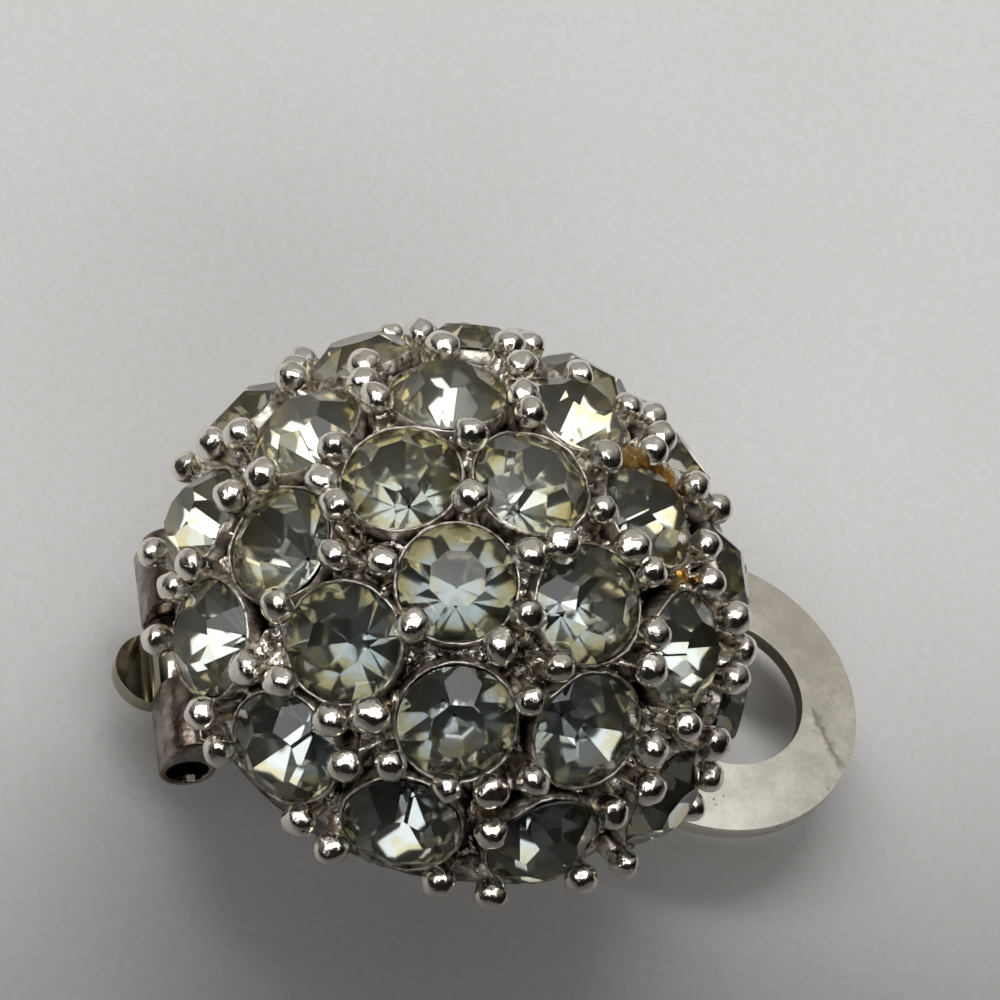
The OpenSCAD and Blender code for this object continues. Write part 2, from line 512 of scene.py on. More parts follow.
# The cups' whole wall is tarnished dark brown, partly as tarnish and partly as painted shade around
# the stones.
CUP_METAL = CastSilver(
    "cast_cup", tarnish=(0.13, 0.09, 0.05, 1), relief=0.04, polish=0.18, recess_shade_r=9.25,
    foul_r=9.75, clean_r=10.6, stain=0.5,
)
PRONG_METAL = CastSilver(
    "cast_prong", relief=0.07, grain=0.5, polish=0.16, dull=0.38, foul_r=9.45, clean_r=10.05,
    stain=0.35,
)
BACK_METAL = CastSilver("cast_back", recess_shade_r=0.0, foul_r=0.1, clean_r=3.0, relief=0.03, stain=0.4)
CLIP_METAL = SheetSilver(
    "clip_sheet", stain_x=-9.0, scratch_from=(14.7, -0.4), scratch_to=(15.45, -3.1),
)
# painted shade: the wall of the clip's hole is painted dark, standing in for the shaded table that it
# reflects
SHADED_WALL_METAL = SheetSilver(
    "shaded_hole_wall", bright=(0.42, 0.385, 0.33, 1), dim=(0.20, 0.175, 0.14, 1), polished=0.2,
)
# painted reflection and shade: the bracket is painted dark brown by its dim colour and shade share,
# barely less towards its +Y end; the mottle is its own patchy tone.
BRACKET_METAL = SheetSilver(
    "bracket_sheet", bright=(0.66, 0.60, 0.53, 1), dim=(0.13, 0.095, 0.07, 1), polished=0.26,
    mottle=0.75, relief=0.07, painted_shade_y=(6.0, 2.0),
)
# painted shade: the insides of the knuckles' hollow ends are painted near black
SHADED_HOLLOW_METAL = SheetSilver("shaded_hollow_end", bright=(0.05, 0.04, 0.03, 1), dim=(0.03, 0.02, 0.02, 1))
PIN_METAL = SheetSilver("pin_wire")
CROWN_GLASS = CutGlass("crown_glass")
FOIL = AgedFoil("aged_foil")
GLUE = Resin("amber_glue")
TABLE_TOP = PaleTable("table_top")
DARK_CARD = DarkCard("dark_card")


# Shapes that several pieces share


def add_object(name: str, data: bpy.types.ID) -> bpy.types.Object:
    """Adds an object to the scene.

    Args:
        name: its name.
        data: the mesh, light or camera that it holds.

    Returns:
        The object.
    """
    thing = bpy.data.objects.new(name, data)
    bpy.context.scene.collection.objects.link(thing)
    return thing


def add_mesh(bm: bmesh.types.BMesh, name: str, finishes: Iterable[Finish]) -> bpy.types.Object:
    """Turns a bmesh in metres into an object.

    Args:
        bm: the mesh, which is used up.
        name: the object's name.
        finishes: the finishes that the faces' material numbers point to.

    Returns:
        The object.
    """
    mesh = bpy.data.meshes.new(name)
    bm.to_mesh(mesh)
    bm.free()
    for finish in finishes:
        mesh.materials.append(dressed(finish))
    return add_object(name, mesh)


def publish(
    bm: bmesh.types.BMesh,
    name: str,
    body: Body,
    finishes: Iterable[Finish],
    stands_for: Iterable[str] = (),
) -> None:
    """Turns a bmesh in millimetres into a finished piece.

    Args:
        bm: the mesh, which is used up.
        name: the piece's name.
        body: the body it rides on.
        finishes: the finishes that the faces' material numbers point to.
        stands_for: the CAD nodes that it replaces.
    """
    bmesh.ops.scale(bm, vec=(MM, MM, MM), verts=bm.verts)
    piece = add_mesh(bm, name, finishes)
    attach(piece, body.value)
    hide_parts(*stands_for)
    log.info("%s: %d faces", name, len(piece.data.polygons))


def lathe(profile: Iterable[tuple[float, float]], steps: int) -> bmesh.types.BMesh:
    """Turns a profile about Z.

    Args:
        profile: (radius, height) points, from the bottom up.
        steps: sides of the turned shape.

    Returns:
        The smooth shape, with its seam and its poles closed.
    """
    bm = bmesh.new()
    line = [bm.verts.new((r, 0, z)) for r, z in profile]
    edges = [bm.edges.new(pair) for pair in zip(line, line[1:])]
    bmesh.ops.spin(
        bm, geom=line + edges, axis=(0, 0, 1), cent=(0, 0, 0), dvec=(0, 0, 0),
        angle=math.tau, steps=steps, use_merge=True,
    )
    bmesh.ops.remove_doubles(bm, verts=bm.verts, dist=1e-4)
    bmesh.ops.recalc_face_normals(bm, faces=bm.faces)
    for f in bm.faces:
        f.smooth = True
    return bm


def add_shape(bm: bmesh.types.BMesh, shape: bmesh.types.BMesh, where: Matrix | None = None) -> None:
    """Adds one shape to another.

    Args:
        bm: the mesh that grows.
        shape: the shape, which is used up.
        where: its place, if it isn't where it belongs.
    """
    if where is not None:
        shape.transform(where)
    spare = bpy.data.meshes.new("spare")
    shape.to_mesh(spare)
    shape.free()
    bm.from_mesh(spare)
    bpy.data.meshes.remove(spare)


def bevelled(bm: bmesh.types.BMesh, width: float, sharp: float = math.radians(30)) -> None:
    """Rounds every sharp edge of a shape.

    Args:
        bm: the shape.
        width: width of the rounding.
        sharp: an edge that turns by more than this is rounded.
    """
    edges = [e for e in bm.edges if len(e.link_faces) == 2 and e.calc_face_angle() > sharp]
    rounded = bmesh.ops.bevel(
        bm, geom=edges, offset=width, offset_type="OFFSET", affect="EDGES", segments=3,
        profile=0.5, material=-1, clamp_overlap=True,
    )
    for f in rounded["faces"]:
        f.smooth = True


def block(bm: bmesh.types.BMesh, low: Iterable[float], high: Iterable[float]) -> None:
    """Adds a box.

    Args:
        bm: the mesh that grows.
        low: the box's lowest corner.
        high: its highest corner.
    """
    low, high = Vector(low), Vector(high)
    where = Matrix.Translation((low + high) / 2) @ Matrix.Diagonal((*(high - low), 1))
    bmesh.ops.create_cube(bm, size=1.0, matrix=where)


def closed_ring(bm: bmesh.types.BMesh, points: Iterable[Vector]) -> list[bmesh.types.BMEdge]:
    """Adds a closed ring of edges through points."""
    verts = [bm.verts.new(p) for p in points]
    return [bm.edges.new(pair) for pair in zip(verts, verts[1:] + verts[:1])]


def slice_shape(
    bm: bmesh.types.BMesh, point: Vector, normal: Vector, merge: float = 1e-5, clear: bool = True,
) -> list[bmesh.types.BMEdge]:
    """Cuts a shape along a plane.

    Args:
        bm: the shape.
        point: a point of the plane.
        normal: the plane's normal.
        merge: a corner nearer than this counts as on the plane.
        clear: whether what lies on the normal's side goes.

    Returns:
        The edges of the cut.
    """
    cut = bmesh.ops.bisect_plane(
        bm, geom=bm.verts[:] + bm.edges[:] + bm.faces[:], dist=merge, plane_co=point,
        plane_no=normal, clear_outer=clear,
    )
    return [e for e in cut["geom_cut"] if isinstance(e, bmesh.types.BMEdge)]


# The dome and its stones


@dataclass(frozen=True)
class Seat:
    """Where one stone sits: its node, and the turn that stands Z along its axis."""

    node: str
    turn: Matrix
    prongs: tuple[int, ...]

    @property
    def axis(self) -> Vector:
        """The stone's axis."""
        return self.turn.to_3x3() @ Vector((0, 0, 1))


@dataclass
class Dome:
    """The sizes that the stones, prongs and bed share, in millimetres.

    The directions of the prongs are in degrees around each stone, 0 being straight down
    the dome, a row for each stone from the top one to the last of the third ring.
    """

    centre: Vector = field(default_factory=lambda: Vector(DOME_CENTRE))
    girdle_r: float = 9.6
    stone_r: float = 1.9
    hollow_r: float = 7.6
    rim_z: float = 4.5
    level: float = math.radians(0.5)
    prong_turns: tuple[tuple[int, ...], ...] = (
        (140, 285, 330),
        (85, 155, 220, 330), (75, 230, 330), (160, 325),
        (65, 100, 145, 290), (55, 125, 310), (85, 265, 355),
        (15, 170, 220), (15, 110, 175, 285), (30, 120, 190, 300),
        (20, 85, 150), (0, 225), (145, 180, 215, 270), (40, 75, 145, 290),
        (45, 130, 320), (60, 300), (115, 240, 315), (100, 240, 285, 320),
        (5, 70, 250), (0, 90, 180), (5, 70, 135), (85, 175, 355),
        (55, 120, 210, 310), (0, 70, 170), (50, 130, 250, 325), (45, 120, 210, 320),
        (45, 160, 320), (45, 125, 240, 320), (45, 115, 220, 315), (10, 80, 190, 305),
    )
    seats: list[Seat] = field(default_factory=list)

    def __post_init__(self) -> None:
        """Reads each stone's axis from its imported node."""
        for number, prongs in enumerate(self.prong_turns, 1):
            node = f"stone_{number:02d}"
            corners = [v.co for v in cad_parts[node].data.vertices]
            middle = sum(corners, Vector()) / len(corners) / MM - self.centre
            down = middle.angle(Vector((0, 0, 1)))
            around = math.atan2(middle.y, middle.x) if down > self.level else 0.0
            turn = Matrix.Rotation(around, 4, "Z") @ Matrix.Rotation(down, 4, "Y")
            self.seats.append(Seat(node, turn, prongs))

    def stand(self, seat: Seat) -> Matrix:
        """Returns the matrix that puts a shape on a stone's axis, from the dome's centre."""
        return Matrix.Translation(self.centre) @ seat.turn


@dataclass
class StoneCut:
    """One round foiled stone, ground facet by facet out of a cylinder.

    Heights are from the girdle's middle, and slopes and the wobble are in degrees, slopes from
    the girdle's plane. The shares say where facets start, as parts of the stone's radius. The
    crown and the back have as many main facets as mains says, and twice as many halves.
    """

    dome: Dome
    girdle: float = 0.12
    crown: float = 0.85
    pavilion: float = 1.6
    main_slope: float = 38.5
    half_slope: float = 46.0
    star_slope: float = 25.0
    back_slope: float = 39.5
    back_half_slope: float = 43.0
    edge_share: float = 0.985
    star_share: float = 0.60
    back_share: float = 0.99
    star_drop: float = 0.04
    mains: int = 8
    sides: int = 64
    wobble: float = 3.0

    def grind(self, bm: bmesh.types.BMesh, point: Vector, around: float, slope: float) -> None:
        """Cuts one flat facet and closes the cut.

        Args:
            bm: the stone.
            point: a point of the facet, at azimuth 0.
            around: the facet's azimuth.
            slope: its slope, below zero for the back.
        """
        turn = Matrix.Rotation(math.radians(around), 3, "Z")
        tilt = math.radians(abs(slope))
        up = math.copysign(math.cos(tilt), slope)
        normal = turn @ Vector((math.sin(tilt), 0, up))
        open_edges = [e for e in slice_shape(bm, turn @ point, normal) if e.is_boundary]
        if open_edges:
            bmesh.ops.edgeloop_fill(bm, edges=open_edges)

    def cut(self) -> bmesh.types.BMesh:
        """Grinds the stone.

        Returns:
            The stone about its own axis, glass on its crown and foil behind.
        """
        r, half = self.dome.stone_r, self.girdle / 2
        bm = bmesh.new()
        bmesh.ops.create_cone(
            bm, cap_ends=True, segments=self.sides, radius1=r, radius2=r,
            depth=self.crown + self.pavilion,
            matrix=Matrix.Translation((0, 0, (self.crown - self.pavilion) / 2)),
        )
        edge = Vector((r * self.edge_share, 0, half))
        inner = Vector((r * self.star_share, 0, self.crown - self.star_drop))
        culet = Vector((0, 0, -self.pavilion))
        back_edge = Vector((r * self.back_share, 0, -half))
        step = 360 / self.mains
        for k in range(self.mains):
            self.grind(bm, edge, step * k, self.main_slope)
            self.grind(bm, inner, step * (k + 0.5), self.star_slope)
            self.grind(bm, culet, step * k, -self.back_slope)
        for k in range(2 * self.mains):
            around = step * (k / 2 + 0.25)
            self.grind(bm, edge, around, self.half_slope)
            self.grind(bm, back_edge, around, -self.back_half_slope)
        bmesh.ops.remove_doubles(bm, verts=bm.verts, dist=0.004)
        bmesh.ops.dissolve_degenerate(bm, edges=bm.edges, dist=0.002)
        bmesh.ops.recalc_face_normals(bm, faces=bm.faces)
        self.mark(bm)
        return bm

    def mark(self, bm: bmesh.types.BMesh) -> None:
        """Tells crown from back, and notes how far out each corner lies.

        Args:
            bm: the cut stone.
        """
        out = bm.verts.layers.float.new("out")
        for v in bm.verts:
            v[out] = Vector(v.co.xy).length / self.dome.stone_r
        for f in bm.faces:
            f.smooth = False
            f.material_index = 1 if f.normal.z < -0.1 else 0

    def build(self) -> None:
        """Sets a stone on every seat, each turned and tilted a little its own way."""
        chance = random.Random(11)
        master = self.cut()
        for seat in self.dome.seats:
            bm = master.copy()
            spin = Matrix.Rotation(chance.uniform(0, math.tau), 4, "Z")
            lean = math.radians(self.wobble)
            tilt = (
                Matrix.Rotation(chance.uniform(-lean, lean), 4, "X")
                @ Matrix.Rotation(chance.uniform(-lean, lean), 4, "Y")
            )
            lift = Matrix.Translation((0, 0, self.dome.girdle_r))
            bm.transform(self.dome.stand(seat) @ lift @ tilt @ spin)
            publish(
                bm, f"{seat.node}_cut", Body.CLUSTER, (CROWN_GLASS, FOIL),
                (seat.node,),
            )
        master.free()


@dataclass
class Prongs:
    """The ball-headed prongs that grip the stones.

    Heads differ in size by size_spread, and are stretched by oval and squat, all as shares.
    Their lumps are lump_waves to a millimetre, and the necks pass into them over blend_l.
    """

    dome: Dome
    ball_r: float = 0.57
    centre_r: float = 10.2
    off_axis: float = math.radians(14)
    foot_r: float = 0.60
    waist_r: float = 0.42
    foot_at: float = 8.7
    waist_at: float = 9.72
    neck_share: float = 0.97
    sides: int = 22
    neck_rows: int = 5
    head_rows: int = 11
    size_spread: float = 0.10
    oval: tuple[float, float] = (-0.06, 0.08)
    squat: tuple[float, float] = (-0.12, 0.04)
    blend_l: float = 0.3
    lump: float = 0.13
    lump_waves: float = 2.2
    lean: float = math.radians(1.6)

    def profile(self) -> list[tuple[float, float]]:
        """Draws one prong's outline.

        Returns:
            Its points, from the middle of its foot to its top.
        """
        start = math.pi - math.asin(min(1.0, self.waist_r / self.ball_r))
        line = [(0.0, self.foot_at), (self.foot_r, self.foot_at)]
        for k in range(1, self.neck_rows + 1):
            t = k / self.neck_rows
            ease = t * t * (3 - 2 * t)
            radius = self.foot_r + (self.waist_r - self.foot_r) * ease
            line.append((radius, self.foot_at + (self.waist_at - self.foot_at) * t * self.neck_share))
        for k in range(self.head_rows + 1):
            angle = start * (1 - k / self.head_rows)
            line.append((
                self.ball_r * math.sin(angle) if k < self.head_rows else 0.0,
                self.centre_r + self.ball_r * math.cos(angle),
            ))
        return line

    def shape_one(self, one: bmesh.types.BMesh, chance: random.Random) -> None:
        """Gives a prong a head of its own size and shape, and a turn and lean of its own.

        Args:
            one: the prong, along Z from the dome's centre.
            chance: the source of its differences.
        """
        size = 1 + chance.uniform(-self.size_spread, self.size_spread)
        oval = 1 + chance.uniform(*self.oval)
        squat = 1 + chance.uniform(*self.squat)
        seed = Vector((chance.uniform(0, 99), chance.uniform(0, 99), chance.uniform(0, 99)))
        head = Vector((0, 0, self.centre_r))
        spin = Matrix.Rotation(chance.uniform(0, math.tau), 4, "Z")
        lean = Matrix.Rotation(chance.uniform(-self.lean, self.lean), 4, "X")
        for v in one.verts:
            share = min(1.0, max(0.0, (v.co.z - self.waist_at) / self.blend_l))
            offset = v.co - head
            stretch = Vector((size * oval, size / oval, size * squat))
            full = Vector(a * b for a, b in zip(offset, stretch))
            swell = noise.noise(v.co * self.lump_waves + seed) * self.lump
            v.co = head + offset.lerp(full * (1 + swell), share)
        one.transform(lean @ spin)

    def build(self) -> None:
        """Raises every prong around its stone."""
        chance = random.Random(5)
        master = lathe(self.profile(), self.sides)
        bm = bmesh.new()
        for seat in self.dome.seats:
            for turn in seat.prongs:
                around = Matrix.Rotation(math.radians(turn), 4, "Z")
                aside = Matrix.Rotation(self.off_axis, 4, "Y")
                one = master.copy()
                self.shape_one(one, chance)
                add_shape(bm, one, self.dome.stand(seat) @ around @ aside)
        master.free()
        publish(bm, "prongs", Body.CLUSTER, (PRONG_METAL,), ("setting",))


@dataclass
class Cups:
    """The thin cast wall around each stone.

    Its rim wavers by ragged and is nicked by nicked, each with its own waves to a millimetre.
    """

    dome: Dome
    gap: float = 0.03
    wall: float = 0.10
    low: float = 8.75
    top: float = 9.66
    ragged: float = 0.17
    ragged_waves: float = 0.9
    nicked: float = 0.05
    nicked_waves: float = 3.2
    uneven: float = 0.03
    sides: int = 72

    def build(self) -> None:
        """Turns a ragged ring around every stone."""
        chance = random.Random(8)
        inner = self.dome.stone_r + self.gap
        outer = inner + self.wall
        middle = inner + self.wall / 2
        profile = [
            (inner, self.low), (inner, (self.low + self.top) / 2), (inner, self.top - 0.05),
            (middle - 0.03, self.top), (middle + 0.03, self.top), (outer, self.top - 0.06),
            (outer + 0.02, (self.low + self.top) / 2), (outer + 0.04, self.low),
            (inner, self.low),
        ]
        bm = bmesh.new()
        for seat in self.dome.seats:
            cup = lathe(profile, self.sides)
            seed = Vector((chance.uniform(0, 99), chance.uniform(0, 99), 0))
            for v in cup.verts:
                rise = max(0.0, (v.co.z - self.low) / (self.top - self.low))
                flat = Vector((v.co.x, v.co.y, 0))
                waver = noise.noise(flat * self.ragged_waves + seed)
                nick = noise.noise(flat * self.nicked_waves + seed)
                v.co.z += (waver * self.ragged + nick * self.nicked) * rise
                if v.co.xy.length > middle:
                    v.co.xy *= 1 + self.uneven * nick * rise
            add_shape(bm, cup, self.dome.stand(seat))
        publish(bm, "stone_cups", Body.CLUSTER, (CUP_METAL,), ("setting",))


@dataclass
class Bed:
    """The rough cast bed that dips into a seat under each stone, and its hollow back.

    A row of waves for each layer of roughness: how many waves the dome's radius holds, and
    their height. The nodules grow where their own noise is above nodule_from. All of it fades
    towards the rim, over the part calm of the radius. The bed is divided once more between the
    stones, from the distance fine_in inside their girdles.
    """

    dome: Dome
    surface_r: float = 9.08
    floor_r: float = 8.05
    seat_reach: float = 7.86
    seat_slope: float = 0.829
    waves: tuple[tuple[float, float], ...] = ((9.0, 0.26), (34.0, 0.09), (71.0, 0.09))
    nodule: float = 1.1
    nodule_waves: float = 19.0
    nodule_from: float = 0.12
    calm: float = 0.22
    fillet: float = 0.30
    fillet_r: float = 0.62
    fine_in: float = 0.15
    subdivisions: int = 7
    hollow_subdivisions: int = 5

    def height(self, ray: Vector, stones: kdtree.KDTree, prongs: kdtree.KDTree) -> float:
        """Works out the bed's distance from the dome's centre.

        Args:
            ray: a direction from the centre.
            stones: the stones' axes.
            prongs: the prongs' axes.

        Returns:
            The distance.
        """
        rough = sum(height * noise.noise(ray * waves) for waves, height in self.waves)
        swell = noise.noise(ray * self.nodule_waves + Vector((5, 2, 8))) - self.nodule_from
        rough += self.nodule * max(0.0, swell)
        rim = (self.dome.rim_z - self.dome.centre.z) / self.surface_r
        level = self.surface_r + rough * min(1.0, max(0.1, (ray.z - rim) / self.calm))
        _, _, away = prongs.find(ray)
        near = away * self.surface_r / self.fillet_r
        level += self.fillet * math.exp(-near * near)
        for _, _, chord in stones.find_n(ray, 2):
            angle = 2 * math.asin(min(1.0, chord / 2))
            room = math.cos(angle) - self.seat_slope * math.sin(angle)
            if room > 0.1:
                level = min(level, self.seat_reach / room)
        return max(level, self.floor_r)

    def trees(self) -> tuple[kdtree.KDTree, kdtree.KDTree]:
        """Collects the axes of the stones and of the prongs.

        Returns:
            Both, ready to be searched.
        """
        stones = kdtree.KDTree(len(self.dome.seats))
        rays = []
        for k, seat in enumerate(self.dome.seats):
            stones.insert(seat.axis, k)
            aside = Matrix.Rotation(Prongs.off_axis, 3, "Y") @ Vector((0, 0, 1))
            for turn in seat.prongs:
                around = Matrix.Rotation(math.radians(turn), 3, "Z")
                rays.append(seat.turn.to_3x3() @ around @ aside)
        prongs = kdtree.KDTree(len(rays))
        for k, ray in enumerate(rays):
            prongs.insert(ray, k)
        stones.balance()
        prongs.balance()
        return stones, prongs

    def ball(self, subdivisions: int) -> bmesh.types.BMesh:
        """Makes a whole ball of radius 1.

        Args:
            subdivisions: how finely it is divided.

        Returns:
            The ball.
        """
        bm = bmesh.new()
        bmesh.ops.create_icosphere(bm, subdivisions=subdivisions, radius=1.0)
        return bm

    def open_at_rim(self, bm: bmesh.types.BMesh) -> list[bmesh.types.BMEdge]:
        """Cuts a shape off at the rim.

        Args:
            bm: a closed shape.

        Returns:
            The edges of the opening.
        """
        slice_shape(bm, Vector((0, 0, self.dome.rim_z)), Vector((0, 0, -1)), merge=1e-4)
        return [e for e in bm.edges if e.is_boundary]

    def build(self) -> None:
        """Shapes the bed, its hollow and the flat rim between them."""
        stones, prongs = self.trees()
        bm = self.ball(self.subdivisions)
        gaps = [
            e for e in bm.edges
            if min(stones.find(v.co.normalized())[2] for v in e.verts) * self.dome.girdle_r
            > self.dome.stone_r - self.fine_in
        ]
        bmesh.ops.subdivide_edges(bm, edges=gaps, cuts=1)
        for v in bm.verts:
            ray = v.co.normalized()
            v.co = self.dome.centre + ray * self.height(ray, stones, prongs)
        outer = self.open_at_rim(bm)
        hollow = self.ball(self.hollow_subdivisions)
        bmesh.ops.scale(hollow, vec=(self.dome.hollow_r,) * 3, verts=hollow.verts)
        bmesh.ops.translate(hollow, vec=self.dome.centre, verts=hollow.verts)
        self.open_at_rim(hollow)
        bmesh.ops.reverse_faces(hollow, faces=hollow.faces)
        for f in hollow.faces:
            f.material_index = 1
        before = set(bm.edges)
        add_shape(bm, hollow)
        inner = [e for e in bm.edges if e not in before and e.is_boundary]
        rim = bmesh.ops.bridge_loops(bm, edges=[e for e in outer if e.is_valid] + inner)
        for f in bm.faces:
            f.smooth = True
        for f in rim["faces"]:
            f.smooth = False
            f.material_index = 1
            f.normal_update()
            if f.normal.z > 0:
                f.normal_flip()
        publish(bm, "cast_bed", Body.CLUSTER, (BED_METAL, BACK_METAL), ("setting",))


@dataclass
class BackBar:
    """The bar across the open back, with the two headed posts through the bracket.

    A post's head is flat over the share head_flat of its radius, and full from the share
    head_full of its height.
    """

    dome: Dome
    width: float = 3.6
    thickness: float = 1.0
    reach: float = 8.4
    post_d: float = 1.4
    head_d: float = 2.3
    head_t: float = 0.35
    head_flat: float = 0.7
    head_full: float = 0.6
    sheet_t: float = 0.6
    gap: float = 0.02
    edge: float = 0.12
    bite: float = 0.1
    sides: int = 40
    post_x: tuple[float, ...] = (-5.6, -1.0)

    def build(self) -> None:
        """Makes the bar and its posts."""
        low = self.dome.rim_z
        under = low - self.sheet_t - 2 * self.gap
        bm = bmesh.new()
        block(
            bm, (-self.reach, -self.width / 2, low),
            (self.reach, self.width / 2, low + self.thickness),
        )
        bevelled(bm, self.edge)
        head_r, post_r, head_t = self.head_d / 2, self.post_d / 2, self.head_t
        profile = [
            (0, under - head_t), (head_r * self.head_flat, under - head_t),
            (head_r, under - head_t * (1 - self.head_full)), (head_r, under), (post_r, under),
            (post_r, low + self.bite), (0, low + self.bite),
        ]
        for x in self.post_x:
            add_shape(bm, lathe(profile, self.sides), Matrix.Translation((x, 0, 0)))
        publish(bm, "back_bar", Body.CLUSTER, (BACK_METAL,), ("setting",))


# The clip and its hinge


@dataclass
class Bracket:
    """The bracket: a strip and a shoulder under the bar, and two knuckles for the pin.

    Sizes are in millimetres. The knuckles are rounded over, and hollow at their outer ends.
    """

    width: float = 3.6
    sheet_t: float = 0.6
    shoulder_l: float = 1.9
    end_x: float = 1.0
    front_x: float = -8.7
    ear_r: float = 0.95
    ear_inside: float = 2.9
    bore_r: float = 0.42
    hollow_r: float = 0.7
    hollow_l: float = 1.6
    hollow_edge: float = 0.05
    ear_gap: float = 0.03
    edge: float = 0.10
    crease: float = math.radians(50)
    arc_steps: int = 24

    def section(self, middle: Vector, r: float, lift: float) -> list[Vector]:
        """Draws a circle square to Y, whose upper half may be raised.

        Args:
            middle: the circle's middle.
            r: its radius.
            lift: how far its upper half is raised.

        Returns:
            Its points in order.
        """
        angles = [math.pi * k / self.arc_steps for k in range(self.arc_steps + 1)]
        upper = [middle + Vector((r * math.cos(a), 0, r * math.sin(a) + lift)) for a in angles]
        lower = [middle - Vector((r * math.cos(a), 0, r * math.sin(a))) for a in angles]
        return upper + lower

    def knuckle(self, side: int) -> bmesh.types.BMesh:
        """Makes one knuckle around its hollow.

        Args:
            side: 1 for the knuckle at +Y, -1 for the one at -Y.

        Returns:
            The knuckle, its outer end open.
        """
        high = mm_box("clip_base")[1]
        pin = sum(mm_box("hinge_pin"), Vector()) / 2
        inner, outer = self.ear_inside / 2, high.y
        floor_y = outer - self.hollow_l
        tall = high.z - self.ear_gap - self.ear_r - pin.z
        r, soft = self.ear_r, self.edge
        rows = (
            (self.bore_r, 0, inner), (r - soft, tall, inner),
            (r - soft * CORNER, tall, inner + soft * CORNER), (r, tall, inner + soft),
            (r, tall, outer - soft), (r - soft * CORNER, tall, outer - soft * CORNER),
            (r - soft, tall, outer), (self.hollow_r + self.hollow_edge, 0, outer),
            (self.hollow_r, 0, outer - self.hollow_edge), (self.hollow_r, 0, floor_y),
            (self.bore_r, 0, floor_y), (self.bore_r, 0, inner),
        )
        bm = bmesh.new()
        rings = [
            closed_ring(bm, self.section(Vector((pin.x, side * y, pin.z)), radius, lift))
            for radius, lift, y in rows
        ]
        for one, other in zip(rings, rings[1:]):
            bmesh.ops.bridge_loops(bm, edges=one + other)
        bmesh.ops.remove_doubles(bm, verts=bm.verts, dist=1e-4)
        bmesh.ops.recalc_face_normals(bm, faces=bm.faces)
        for f in bm.faces:
            away = f.calc_center_median() - pin
            inside = math.hypot(away.x, away.z) < self.hollow_r and side * away.y > floor_y - 0.1
            # faces inside the hollow are painted near black as shade
            f.material_index = 1 if inside else 0
            f.smooth = True
        for e in bm.edges:
            e.smooth = len(e.link_faces) != 2 or e.calc_face_angle() < self.crease
        return bm

    def build(self) -> None:
        """Makes the strip, its shoulder and both knuckles."""
        high = mm_box("clip_base")[1]
        under, half = high.z - self.sheet_t, self.width / 2
        ear_y = self.ear_inside / 2 + self.edge
        bm = bmesh.new()
        block(bm, (self.front_x, -half, under), (self.end_x, half, high.z))
        bevelled(bm, self.edge)
        for side in (-1, 1):
            add_shape(bm, self.knuckle(side))
            wing = bmesh.new()
            near, far = sorted((side * ear_y, side * (high.y - self.edge)))
            block(wing, (self.front_x, near, under), (self.front_x + self.shoulder_l, far, high.z))
            bevelled(wing, self.edge)
            add_shape(bm, wing)
        publish(
            bm, "bracket", Body.CLUSTER, (BRACKET_METAL, SHADED_HOLLOW_METAL), ("clip_base",),
        )


@dataclass
class HingePin:
    """The pin through the bracket's ears, slightly domed at both ends."""

    rounding: float = 0.16
    sides: int = 40

    def build(self) -> None:
        """Turns the pin and lays it along Y."""
        low, high = mm_box("hinge_pin")
        middle = (low + high) / 2
        half, r = (high.y - low.y) / 2, (high.z - low.z) / 2
        soft = self.rounding
        profile = [
            (0, -half), (r - soft, -half), (r - soft * CORNER, -half + soft * CORNER),
            (r, -half + soft), (r, half - soft), (r - soft * CORNER, half - soft * CORNER),
            (r - soft, half), (0, half),
        ]
        bm = lathe(profile, self.sides)
        bm.transform(Matrix.Translation(middle) @ Matrix.Rotation(math.pi / 2, 4, "X"))
        publish(bm, "hinge_pin_wire", Body.CLUSTER, (PIN_METAL,), ("hinge_pin",))


